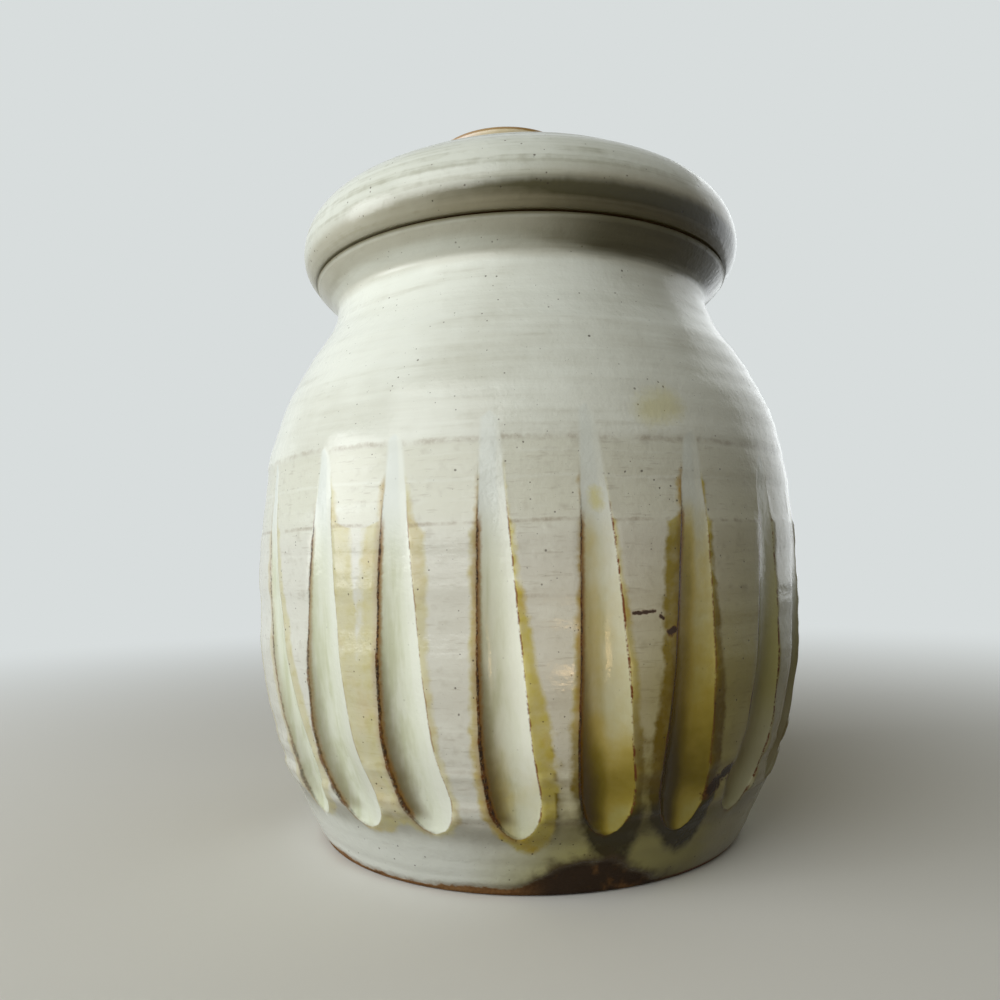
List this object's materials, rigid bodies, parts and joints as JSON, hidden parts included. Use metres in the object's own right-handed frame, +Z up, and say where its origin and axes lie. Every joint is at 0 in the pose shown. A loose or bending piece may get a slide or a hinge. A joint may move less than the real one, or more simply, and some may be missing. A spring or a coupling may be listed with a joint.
{
  "type": "honey pot",
  "caption": "Round-bellied glazed stoneware jar with carved flutes, a flared collar and a lift-off domed lid with a button knob, for honey or other food.",
  "frame": {"origin": "centre of the foot, on the surface that the pot stands on", "axes": "+Z up along the jar's axis, -Y towards the pictured side, +X to its right"},
  "size_m": [0.1149, 0.115, 0.1487],
  "materials": {
    "jar_glaze": "glossy",
    "lid_glaze": "glossy",
    "knob_glaze": "glossy"
  },
  "bodies": {
    "jar": {"jar_body": "jar_glaze"},
    "lid": {"lid": "lid_glaze", "lid_knob": "knob_glaze"}
  },
  "joints": [
    {"name": "lid_lift", "type": "slide", "parent": "jar", "child": "lid", "axis": [0, 0, 1], "range_m": [0, 0.08]}
  ]
}
